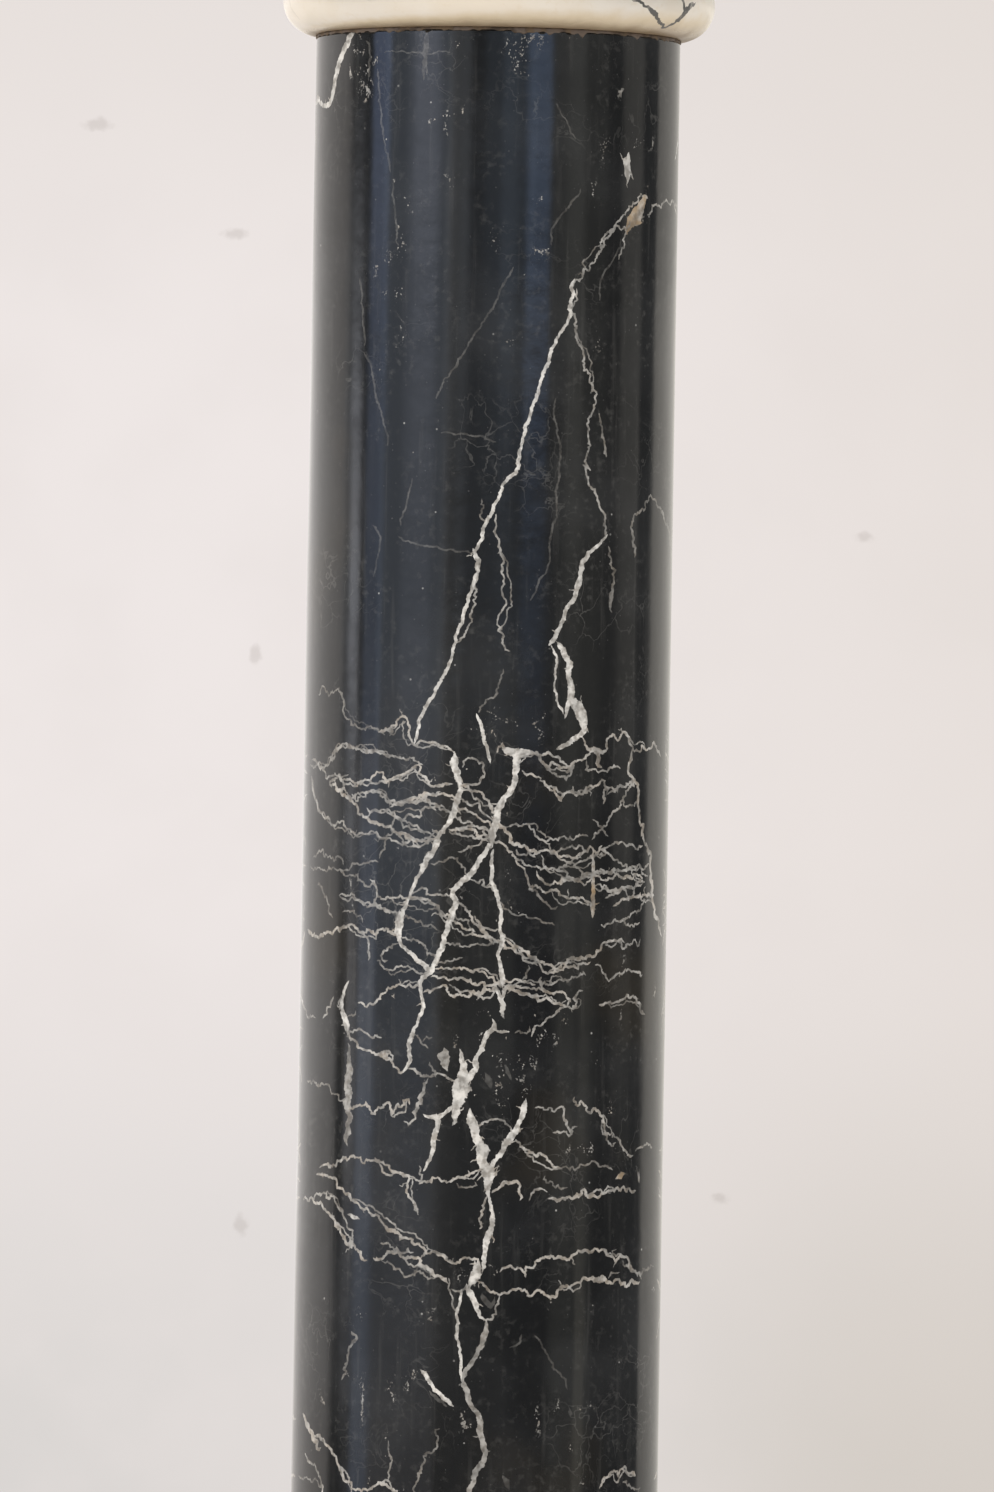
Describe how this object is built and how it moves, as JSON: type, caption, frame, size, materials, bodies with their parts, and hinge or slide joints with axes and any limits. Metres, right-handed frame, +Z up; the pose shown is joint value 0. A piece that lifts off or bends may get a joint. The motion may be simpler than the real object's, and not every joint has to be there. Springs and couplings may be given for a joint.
{
  "type": "marble column",
  "caption": "Round black veined marble column shaft between two ivory half-round rings, on a square plinth and under a square cap slab.",
  "frame": {"origin": "centre of the plinth's underside, which stands on the floor", "axes": "+Z up along the shaft; the plinth's front face looks along -Y and +X is to the right of a viewer there"},
  "size_m": [0.26, 0.26, 0.9968],
  "materials": {
    "black_marble": "polished, white and cream veins",
    "ivory_marble": "polished, sparse dark veins",
    "brown_resin": "dull brown setting resin",
    "dowel_iron": "plain bar"
  },
  "bodies": {
    "root": {"plinth": "black_marble", "plinth_bed": "brown_resin", "base_ring": "ivory_marble", "foot_bed": "brown_resin", "base_dowel": "dowel_iron", "shaft": "black_marble", "collar_bed": "brown_resin", "collar_ring": "ivory_marble", "cap_bed": "brown_resin", "cap_dowel": "dowel_iron", "cap_slab": "black_marble"}
  },
  "joints": []
}
